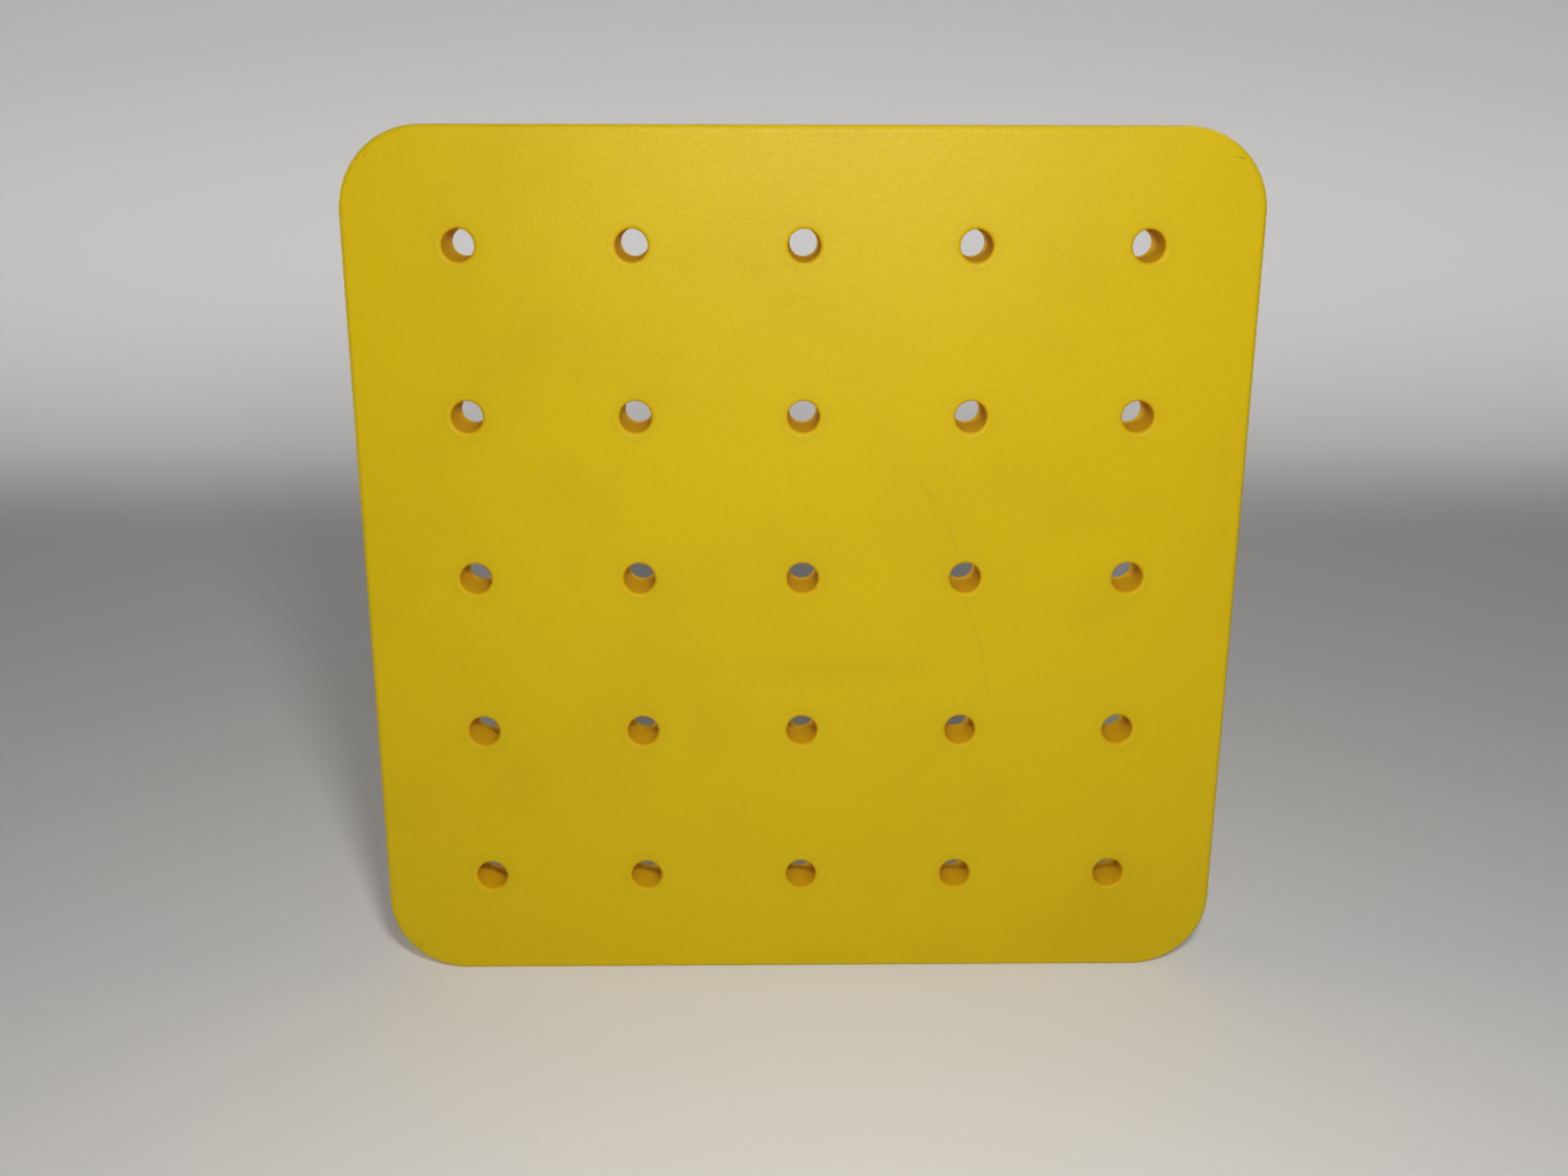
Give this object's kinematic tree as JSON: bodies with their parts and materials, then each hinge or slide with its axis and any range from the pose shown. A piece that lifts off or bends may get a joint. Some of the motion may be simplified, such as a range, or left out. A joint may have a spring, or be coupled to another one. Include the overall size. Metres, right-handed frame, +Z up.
{
  "type": "peg board",
  "caption": "Square yellow plastic peg board with rounded corners and a grid of round through sockets for pegs, standing on its lower edge.",
  "frame": {"origin": "middle of the lower edge: centre of the width and of the overall thickness, at the plane the board stands on", "axes": "+Z up the board, +X to the right as seen from the face, the face looks towards -Y and the back towards +Y"},
  "size_m": [0.2714, 0.0176, 0.2714],
  "materials": {
    "yellow_plastic": "satin moulded",
    "yellow_plastic_back": "fine matte texture",
    "screw_steel": "zinc plated",
    "foot_rubber": "soft rubber"
  },
  "bodies": {
    "root": {"front_shell": "yellow_plastic", "back_cover": "yellow_plastic_back", "screw_01": "screw_steel", "screw_02": "screw_steel", "screw_03": "screw_steel", "screw_04": "screw_steel", "screw_05": "screw_steel", "screw_06": "screw_steel", "screw_07": "screw_steel", "screw_08": "screw_steel", "screw_09": "screw_steel", "screw_10": "screw_steel", "screw_11": "screw_steel", "screw_12": "screw_steel", "foot_left_low": "foot_rubber", "foot_left_high": "foot_rubber", "foot_right_low": "foot_rubber", "foot_right_high": "foot_rubber"}
  },
  "joints": []
}
